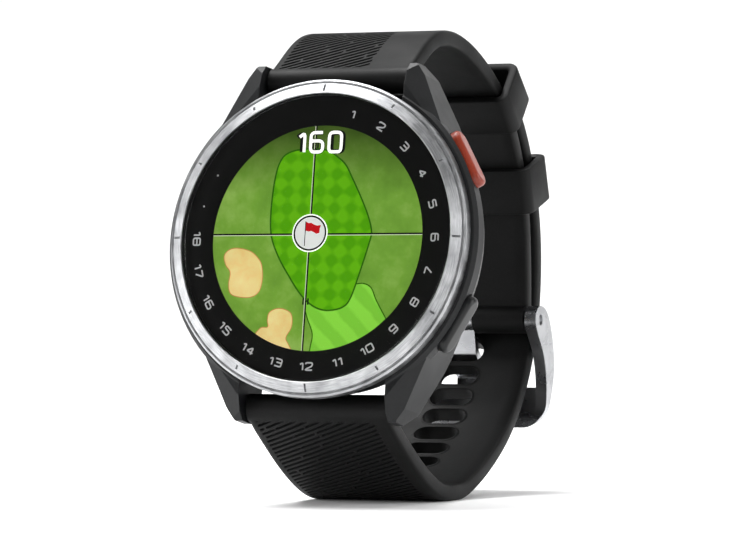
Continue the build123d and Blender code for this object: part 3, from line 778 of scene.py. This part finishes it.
def build_short_strap():
    path = short_path()
    vertices, faces = strap_mesh(path, 1.0, (-8.8, 3.8), (0.4, 33.0), -1, path.length + 1, (5.5, 9.0), 11)
    made = tool_mesh("short_strap_moulding", vertices, faces)
    h = STRAP_HALF
    apply_boolean(made, tube_tool("lug_end", UPPER_BAR, BARREL_RADIUS, -h, h, 72), "UNION")
    apply_boolean(made, tube_tool("pin_end", PIVOT, PIN_BARREL_RADIUS, -h, h, 64), "UNION")
    cut(
        made,
        tube_tool("bar_hole", UPPER_BAR, BAR_BORE, -h - 1, h + 1, 32),
        tube_tool("pin_hole", PIVOT, PIN_BORE, -h - 1, h + 1, 32),
        lever_window(UPPER_BAR),
        box_tool(
            "tongue_room",
            (-2.4, PIVOT[0] - 2.3, PIVOT[1] - 4.05),
            (2.4, PIVOT[0] + 2.3, PIVOT[1] + 2.05),
        ),
    )
    finish_strap(made, "short_strap")


def build_long_strap():
    path, start = long_path()
    grooved = (0.6, start + 4.0)
    vertices, faces = strap_mesh(
        path, -0.9, (-8.8, 7.8), grooved, 1, path.length - 5, (8.0, 15.0), 23
    )
    made = tool_mesh("long_strap_moulding", vertices, faces)
    h = STRAP_HALF
    apply_boolean(made, tube_tool("lug_end", LOWER_BAR, BARREL_RADIUS, -h, h, 72), "UNION")
    places = slot_places(path, start)
    cut(
        made,
        tube_tool("bar_hole", LOWER_BAR, BAR_BORE, -h - 1, h + 1, 32),
        lever_window(LOWER_BAR),
        *[slot_tool(f"slot_{n}", p, d) for n, (p, d) in enumerate(places)],
    )
    finish_strap(made, "long_strap")
    vertices, faces = [], []
    for point, direction in places[1:]:
        slot_rim(point, direction, vertices, faces)
    lips = piece("slot_lips", vertices, faces, "silicone", "watch", 60)


def keeper_mesh(width, height, wall, length, corner):
    """A box-shaped loop: outline in x and height, wall inwards, length along y."""
    loops = []
    for inset in (0.0, wall):
        points = []
        w, t = width / 2 - inset, height / 2 - inset
        r = max(corner - inset, 0.45)
        for sx, sy, start in ((1, 1, 0), (-1, 1, 90), (-1, -1, 180), (1, -1, 270)):
            for n in range(7):
                a = math.radians(start + 90 * n / 6)
                points.append((sx * (w - r) + r * math.cos(a), sy * (t - r) + r * math.sin(a)))
        loops.append(points)
    outer, inner = loops
    half, soft = length / 2, 0.28
    one_end = [(0.0, soft), (0.08, 0.08), (0.25, 0.0), (0.8, 0.0), (1.0, 0.2)]
    section = [(share, -half + back) for share, back in one_end]
    section += [(share, half - back) for share, back in reversed(one_end)]
    vertices, faces = [], []
    size = len(outer)
    for share, y in section:
        for (ax, az), (bx, bz) in zip(outer, inner):
            vertices.append((ax + (bx - ax) * share, y, az + (bz - az) * share))
    for k in range(len(section)):
        b = (k + 1) % len(section)
        for n in range(size):
            m = (n + 1) % size
            faces.append((k * size + n, k * size + m, b * size + m, b * size + n))
    return vertices, faces


def build_keepers():
    path = short_path()
    back, start = long_path()
    for name, distance in KEEPERS.items():
        point, direction = path.at(distance)
        normal = Vector((-direction.y, direction.x))
        best = None
        for n in range(400):
            q, _ = back.at(start + (back.length - start) * n / 400)
            if q.y < point.y - 12:
                continue
            off = abs((q - point).dot(direction))
            if best is None or off < best[0]:
                best = (off, (q - point).dot(normal))
        low = -STRAP_THICKNESS - KEEPER_GAP - KEEPER_WALL
        high = best[1] + KEEPER_GAP + KEEPER_WALL
        middle = point + normal * (low + high) / 2
        vertices, faces = keeper_mesh(KEEPER_SIZE[0], high - low, KEEPER_WALL, KEEPER_SIZE[1], 1.5)
        placed = []
        for x, y, z in vertices:
            p = middle + direction * y + normal * z
            placed.append((x, p.x, p.y))
        made = piece(f"{name}_keeper_loop", placed, faces, "silicone", f"{name}_loop", 40)
        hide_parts(f"{name}_keeper")


# ---- the dial and the screen -----------------------------------------------------
SCREEN_Z = -1.06  # just in front of the display panel, in the head's own frame


def display_piece(name, vertices, faces, finish, matrix=HEAD):
    """A flat piece of the picture, from points in the head's own frame."""
    made = piece(name, vertices, faces, finish, "watch", 38, matrix)


def polygon_piece(name, points, z, finish):
    """A flat shape on the screen, from head-frame x and y."""
    vertices = [(x, y, z) for x, y in points]
    display_piece(name, vertices, [tuple(range(len(points)))], finish)


def smooth_loop(points, count=6):
    """A closed curve through points."""
    out = []
    size = len(points)
    for n in range(size):
        p0, p1, p2, p3 = (Vector(points[(n + k - 1) % size]) for k in range(4))
        for k in range(count):
            t = k / count
            out.append(
                0.5
                * (
                    2 * p1
                    + (p2 - p0) * t
                    + (2 * p0 - 5 * p1 + 4 * p2 - p3) * t * t
                    + (3 * p1 - p0 - 3 * p2 + p3) * t * t * t
                )
            )
    return [inside_art(p) for p in out]


def inside_art(p):
    """Pulls a point back to the edge of the round picture."""
    centre = Vector((DISPLAY_X, 0))
    off = Vector(p) - centre
    return centre + off * min(1.0, ART_RADIUS / max(off.length, 1e-6))


def stroke(points, width, closed, vertices, faces, z):
    """Adds a line of the given width to a growing flat mesh."""
    size, first = len(points), len(vertices)
    for n in range(size):
        before = points[n - 1] if closed or n else points[0]
        after = points[(n + 1) % size] if closed or n < size - 1 else points[-1]
        direction = (Vector(after) - Vector(before)).normalized()
        side = Vector((direction.y, -direction.x)) * width / 2
        p = Vector(points[n])
        vertices += [(*(p - side), z), (*(p + side), z)]
    for n in range(size if closed else size - 1):
        a, b = first + 2 * n, first + 2 * ((n + 1) % size)
        faces.append((a, a + 1, b + 1, b))


def outline_piece(name, points, width, z, finish):
    """A closed line round a shape on the screen."""
    vertices, faces = [], []
    stroke(points, width, True, vertices, faces, z)
    display_piece(name, vertices, faces, finish)


def disc_points(centre, radius, count=96):
    return [on_circle(centre, radius, 360 * n / count) for n in range(count)]


def ring_piece(name, centre, inner, outer, z, finish, count=128):
    vertices = [(*p, z) for p in disc_points(centre, inner, count)]
    vertices += [(*p, z) for p in disc_points(centre, outer, count)]
    faces = [(n, (n + 1) % count, count + (n + 1) % count, count + n) for n in range(count)]
    display_piece(name, vertices, faces, finish)


def bar_piece(name, low, high, z, finish):
    """A flat rectangle on the screen."""
    polygon_piece(name, [low, (high[0], low[1]), high, (low[0], high[1])], z, finish)


GREEN = [
    (-2.2, 11.8), (-4.8, 11.3), (-6.0, 10.0), (-6.6, 7.3), (-6.8, 3.2), (-6.5, 0.2), (-5.3, -2.5),
    (-3.8, -4.8), (-2.1, -7.1), (-0.5, -8.6), (1.0, -9.35), (2.5, -9.5), (4.2, -9.1), (5.2, -8.0),
    (6.2, -5.0), (7.5, -0.3), (7.6, 1.0), (7.0, 2.9), (5.8, 5.4), (4.6, 7.6), (3.5, 9.5), (2.3, 10.6),
    (0.6, 11.6),
]  # fmt: skip
APPROACH = [
    (3.6, -6.4), (5.6, -6.1), (7.0, -6.0), (8.1, -6.6), (8.9, -8.2), (10.4, -10.6), (11.5, -12.5),
    (6.0, -16.0), (0.0, -17.0), (0.0, -14.6), (0.2, -12.6), (-0.7, -10.4), (-1.1, -8.6), (0.4, -7.2),
]  # fmt: skip
BUNKER_LEFT = [
    (-11.1, -1.3), (-12.4, -1.5), (-13.1, -2.3), (-12.8, -3.5), (-12.1, -4.5), (-12.2, -6.0),
    (-11.9, -7.2), (-10.9, -7.7), (-9.0, -7.8), (-7.8, -7.1), (-7.4, -5.6), (-7.5, -4.1), (-7.9, -3.0),
    (-9.2, -1.8),
]  # fmt: skip
BUNKER_LOW = [
    (-5.1, -9.3), (-6.1, -9.8), (-6.3, -10.8), (-6.2, -11.7), (-7.3, -11.9), (-8.0, -13.6),
    (-5.0, -16.0), (-1.9, -16.2), (-3.0, -14.1), (-3.5, -13.1), (-2.8, -11.7), (-2.9, -10.1), (-3.9, -9.4),
]  # fmt: skip
CROSS_X, CROSS_Y = -1.05, 0.5


# Strokes of each figure, in a box one unit wide and one unit high.
FIGURES = {
    "0": [[(0.5, 0), (1, 0), (1, 1), (0, 1), (0, 0), (0.5, 0)]],
    "1": [[(0.0, 0.78), (0.42, 1), (0.42, 0)]],
    "2": [[(0, 0.8), (0, 1), (1, 1), (1, 0.56), (0, 0.12), (0, 0), (1, 0)]],
    "3": [[(0, 1), (1, 1), (1, 0), (0, 0)], [(0.2, 0.52), (1, 0.52)]],
    "4": [[(0.76, 0), (0.76, 1), (0, 0.28), (1.05, 0.28)]],
    "5": [[(1, 1), (0, 1), (0, 0.58), (1, 0.58), (1, 0), (0, 0)]],
    "6": [[(0.95, 1), (0, 1), (0, 0), (1, 0), (1, 0.57), (0, 0.57)]],
    "7": [[(0, 1), (1, 1), (0.35, 0)]],
    "8": [[(0.5, 0), (1, 0), (1, 1), (0, 1), (0, 0), (0.5, 0)], [(0, 0.52), (1, 0.52)]],
    "9": [[(0.05, 0), (1, 0), (1, 1), (0, 1), (0, 0.43), (1, 0.43)]],
}
NARROW_FIGURE = 0.42  # width of the figure 1, as a share of the others


def rounded(points, radius, count=4):
    """An open line with its corners rounded off."""
    out = [Vector(points[0])]
    for a, b, c in zip(points, points[1:], points[2:]):
        a, b, c = Vector(a), Vector(b), Vector(c)
        start = b + (a - b).normalized() * min(radius, (a - b).length / 2)
        end = b + (c - b).normalized() * min(radius, (c - b).length / 2)
        for n in range(count + 1):
            t = n / count
            out.append(start.lerp(b, t).lerp(b.lerp(end, t), t))
    out.append(Vector(points[-1]))
    return out


def number_piece(name, words, size, line, place, turn, finish, z):
    """Figures in a row, centred on a place. size is a figure's width and height, line its stroke."""
    wide, high = size[0] - line, size[1] - line
    gap = line * 2.1
    widths = [wide * (NARROW_FIGURE if figure == "1" else 1.0) for figure in words]
    x = -(sum(widths) + gap * (len(words) - 1)) / 2
    vertices, faces = [], []
    for figure, width in zip(words, widths):
        for points in FIGURES[figure]:
            drawn = [(x + wide * px, high * (py - 0.5)) for px, py in points]
            stroke(rounded(drawn, 0.24 * high), line, False, vertices, faces, z)
        x += width + gap
    where = Matrix.Translation((place[0] * MM, place[1] * MM, 0))
    around = Matrix.Rotation(math.radians(turn), 4, "Z")
    display_piece(name, vertices, faces, finish, HEAD @ where @ around)


def build_screen():
    centre = (DISPLAY_X, 0)
    ring_piece("dial_print", (0, 0), ART_RADIUS - 0.35, 18.9, SCREEN_Z + 0.02, "black_ink")
    polygon_piece("screen_rough", disc_points(centre, ART_RADIUS), SCREEN_Z, "rough")
    approach = smooth_loop(APPROACH)
    polygon_piece("screen_approach", approach, SCREEN_Z + 0.004, "approach")
    outline_piece("screen_approach_edge", approach, 0.16, SCREEN_Z + 0.006, "edge_light")
    green = smooth_loop(GREEN)
    polygon_piece("screen_green", green, SCREEN_Z + 0.008, "green")
    outline_piece("screen_green_edge", green, 0.22, SCREEN_Z + 0.010, "edge_light")
    for side, points in (("left", BUNKER_LEFT), ("low", BUNKER_LOW)):
        shape = smooth_loop(points)
        polygon_piece(f"screen_bunker_{side}", shape, SCREEN_Z + 0.004, "sand")
        outline_piece(f"screen_bunker_{side}_edge", shape, 0.12, SCREEN_Z + 0.006, "sand_edge")
    reach_x = math.sqrt(ART_RADIUS**2 - CROSS_Y**2)
    reach_y = math.sqrt(ART_RADIUS**2 - (CROSS_X - DISPLAY_X) ** 2)
    for name, low, high, z, finish in (
        ("pale", -0.18, 0.05, 0.012, "pale_line"),
        ("dark", -0.10, 0.13, 0.014, "black_light"),
    ):
        bar_piece(
            f"cross_level_{name}",
            (DISPLAY_X - reach_x, CROSS_Y + low),
            (DISPLAY_X + reach_x, CROSS_Y + high),
            SCREEN_Z + z,
            finish,
        )
        bar_piece(
            f"cross_upright_{name}",
            (CROSS_X + low, -reach_y),
            (CROSS_X + high, reach_y),
            SCREEN_Z + z,
            finish,
        )
    for place, y in (("top", 12.25), ("bottom", -8.35)):
        for side in (-1, 1):
            x = CROSS_X + side * 0.34
            bar_piece(
                f"cross_mark_{place}_{'left' if side < 0 else 'right'}",
                (x - 0.11, y - 0.42),
                (x + 0.11, y + 0.42),
                SCREEN_Z + 0.015,
                "black_light",
            )
    marker = (CROSS_X, CROSS_Y + 0.15)
    ring_piece("pin_marker_halo", marker, 2.2, 2.5, SCREEN_Z + 0.017, "white_light", 64)
    ring_piece("pin_marker_edge", marker, 2.1, 2.34, SCREEN_Z + 0.019, "black_light", 64)
    polygon_piece("pin_marker", disc_points(marker, 2.15, 64), SCREEN_Z + 0.018, "marker_light")
    x, y = marker
    bar_piece("pin_staff", (x - 0.74, y - 1.7), (x - 0.62, y + 1.55), SCREEN_Z + 0.021, "black_light")
    flag = [
        (-0.62, 1.5), (-0.3, 1.32), (0.1, 1.36), (0.5, 1.12), (0.95, 0.98), (1.5, 1.06), (1.36, 0.6),
        (1.34, 0.0), (0.9, -0.1), (0.6, 0.08), (0.2, 0.26), (-0.2, 0.2), (-0.62, 0.32),
    ]  # fmt: skip
    polygon_piece("pin_flag", [(x + a, y + b) for a, b in flag], SCREEN_Z + 0.022, "flag_light")
    place = (DISPLAY_X + 0.05, 12.65)
    number_piece("distance_shadow", "160", (2.26, 3.12), 0.60, place, 0, "black_light", SCREEN_Z + 0.024)
    number_piece("distance", "160", (2.15, 3.0), 0.42, place, 0, "white_light", SCREEN_Z + 0.027)


def build_dial_numbers():
    radius = 16.85
    # The printed hole numbers and dots shine faintly by their own light, which is painted light.
    for n in range(1, 19):
        clock = 15 * n
        a = math.radians(90 - clock)
        place = (DISPLAY_X * 0.8 + radius * math.cos(a), radius * math.sin(a))
        turn = -clock if n <= 6 else 180 - clock
        number_piece(
            f"hole_number_{n}", str(n), (1.12, 1.16), 0.2, place, turn, "numerals_with_painted_glow", SCREEN_Z + 0.03
        )
    for n, (x, y) in enumerate(((-14.8, 8.4), (-16.5, 4.3))):
        polygon_piece(f"dial_dot_{n}", disc_points((x, y), 0.12, 16), SCREEN_Z + 0.03, "numerals_with_painted_glow")


# ---- operators -------------------------------------------------------------------
def paint(pairs):
    """Gives CAD nodes their finish."""
    for node, finish in pairs.items():
        made = NODES[node]
        made.data.materials.clear()
        made.data.materials.append(material(finish))


class WatchSettings(bpy.types.PropertyGroup):
    """Sizes and lights that a user would change."""

    key_power: bpy.props.FloatProperty(
        name="Key light", description="Power of the large light overhead", default=7.0, unit="POWER"
    )
    floor_colour: bpy.props.FloatVectorProperty(
        name="Floor colour",
        description="Colour of the floor and the backdrop",
        default=linear("#fafafa")[:3],
        subtype="COLOR",
        size=3,
        min=0.0,
        max=1.0,
    )
    camera_lens: bpy.props.FloatProperty(
        name="Lens", description="Focal length of the camera, in millimetres", default=211.2, min=10
    )


class WATCH_OT_case(bpy.types.Operator):
    """Case, lugs, rear cover and what shows of the inside"""

    bl_idname = "watch.case"
    bl_label = "Case"

    def execute(self, context):
        paint({
            "case_body": "case", "rear_cover": "rear", "contact_holder": "inner", "charge_contacts": "gold",
            "rear_cover_screws": "screw", "screw_inserts": "brass", "rear_cover_seal": "rubber",
            "inner_frame": "inner", "main_board": "board", "shield_can": "shield", "battery": "foil",
            "gps_antenna": "copper", "motor_case": "shield", "motor_rotor": "screw",
        })  # fmt: skip
        return {"FINISHED"}


class WATCH_OT_bezel(bpy.types.Operator):
    """Brushed bezel, cover glass and its gasket"""

    bl_idname = "watch.bezel"
    bl_label = "Bezel and glass"

    def execute(self, context):
        paint({
            "bezel_ring": "bezel", "cover_lens": "glass", "lens_gasket": "rubber",
            "display_panel": "panel",
        })  # fmt: skip
        return {"FINISHED"}


class WATCH_OT_screen(bpy.types.Operator):
    """Printed dial with hole numbers, and the hole's picture on the screen"""

    bl_idname = "watch.screen"
    bl_label = "Screen"

    def execute(self, context):
        build_screen()
        build_dial_numbers()
        return {"FINISHED"}


class WATCH_OT_buttons(bpy.types.Operator):
    """The two buttons with their seals, clips and switches"""

    bl_idname = "watch.buttons"
    bl_label = "Buttons"

    def execute(self, context):
        paint({"upper_button": "red_button", "lower_button": "black_button"})
        for name in ("upper", "lower"):
            paint({
                f"{name}_button_seal": "rubber", f"{name}_button_clip": "spring_steel",
                f"{name}_button_switch": "inner", f"{name}_spring_bar": "spring_steel",
                f"{name}_release_pin": "spring_steel", f"{name}_bar_spring": "spring_steel",
            })  # fmt: skip
        return {"FINISHED"}


class WATCH_OT_straps(bpy.types.Operator):
    """Both straps with their grooves and slots, and the two keepers"""

    bl_idname = "watch.straps"
    bl_label = "Straps"

    def execute(self, context):
        build_short_strap()
        build_long_strap()
        build_keepers()
        return {"FINISHED"}


class WATCH_OT_buckle(bpy.types.Operator):
    """Buckle frame, tongue and pin"""

    bl_idname = "watch.buckle"
    bl_label = "Buckle"

    def execute(self, context):
        paint({"buckle_frame": "polished", "buckle_tongue": "polished", "buckle_pin": "polished"})
        return {"FINISHED"}


class WATCH_OT_stage(bpy.types.Operator):
    """Floor, lights and camera"""

    bl_idname = "watch.stage"
    bl_label = "Stage"

    def execute(self, context):
        settings = context.scene.watch_settings
        floor_stage(settings.floor_colour)
        lights(settings.key_power)
        camera(settings.camera_lens)
        return {"FINISHED"}


def floor_stage(colour):
    """A floor that curves up into a backdrop well behind the watch."""
    front, depth, height, width, bend = -1.2, 0.9, 0.9, 1.6, 0.35
    profile = [(front, 0.0)]
    for n in range(13):
        a = math.radians(90 * n / 12)
        profile.append((depth + bend * math.sin(a), bend - bend * math.cos(a)))
    profile.append((depth + bend, height))
    vertices = [(x, y, z) for y, z in profile for x in (-width, width)]
    faces = [(2 * n, 2 * n + 1, 2 * n + 3, 2 * n + 2) for n in range(len(profile) - 1)]
    mesh = bpy.data.meshes.new("floor")
    mesh.from_pydata(vertices, [], faces)
    made = bpy.data.objects.new("floor", mesh)
    bpy.context.scene.collection.objects.link(made)
    for face in mesh.polygons:
        face.use_smooth = True
    paper, tree, shader = new_material("white_paper_floor")
    plug(tree, shader, {"Base Color": (*colour, 1), "Roughness": 0.9, "Specular IOR Level": 0.1})
    mesh.materials.append(paper)


def area_light(name, place, target, size, power):
    data = bpy.data.lights.new(name, "AREA")
    data.shape = "RECTANGLE"
    data.size, data.size_y = size
    data.energy = power
    made = bpy.data.objects.new(name, data)
    made.location = place
    made.rotation_euler = (Vector(target) - Vector(place)).to_track_quat("-Z", "Y").to_euler()
    bpy.context.scene.collection.objects.link(made)


def lights(power):
    middle = (0, 0, 0.035)
    area_light("key", (-0.22, -0.02, 0.65), middle, (0.5, 0.5), power)
    area_light("left", (-0.66, -0.36, 0.22), middle, (0.22, 0.5), power * 0.4)
    area_light("right", (0.65, 0.06, 0.22), middle, (0.25, 0.5), power * 0.4)
    area_light("fill", (0.28, -0.62, 0.26), middle, (0.12, 0.3), power * 0.1)
    area_light("backdrop", (0, 0.35, 0.95), (-0.35, 1.2, 0.15), (1.2, 0.3), power * 1.9)
    world = bpy.data.worlds.new("soft_room")
    bpy.context.scene.world = world
    world.use_nodes = True
    plug(world.node_tree, world.node_tree.nodes["Background"], {"Color": (1, 1, 1, 1), "Strength": 0.1})


def camera(lens):
    data = bpy.data.cameras.new("camera")
    data.lens = lens
    data.sensor_width = 36
    made = bpy.data.objects.new("camera", data)
    made.location = Vector((230.2, -542.6, 30.2)) * MM
    made.rotation_euler = (math.radians(90), math.radians(0.15), math.radians(23.03))
    bpy.context.scene.collection.objects.link(made)
    bpy.context.scene.camera = made
    bpy.context.scene.view_settings.view_transform = "Standard"


class WATCH_PT_panel(bpy.types.Panel):
    """Lists the watch's operators"""

    bl_label = "Golf watch"
    bl_idname = "WATCH_PT_panel"
    bl_space_type = "VIEW_3D"
    bl_region_type = "UI"
    bl_category = "Golf watch"

    def draw(self, context):
        for operator in OPERATORS:
            self.layout.operator(operator.bl_idname)
        settings = context.scene.watch_settings
        for name in ("key_power", "floor_colour", "camera_lens"):
            self.layout.prop(settings, name)


OPERATORS = (
    WATCH_OT_case,
    WATCH_OT_bezel,
    WATCH_OT_screen,
    WATCH_OT_buttons,
    WATCH_OT_straps,
    WATCH_OT_buckle,
    WATCH_OT_stage,
)
CLASSES = (WatchSettings, *OPERATORS, WATCH_PT_panel)


def register():
    for each in CLASSES:
        bpy.utils.register_class(each)
    bpy.types.Scene.watch_settings = bpy.props.PointerProperty(type=WatchSettings)


def unregister():
    del bpy.types.Scene.watch_settings
    for each in reversed(CLASSES):
        bpy.utils.unregister_class(each)


def main():
    register()
    for operator in OPERATORS:
        group, name = operator.bl_idname.split(".")
        getattr(getattr(bpy.ops, group), name)()


if __name__ == "__main__":
    main()
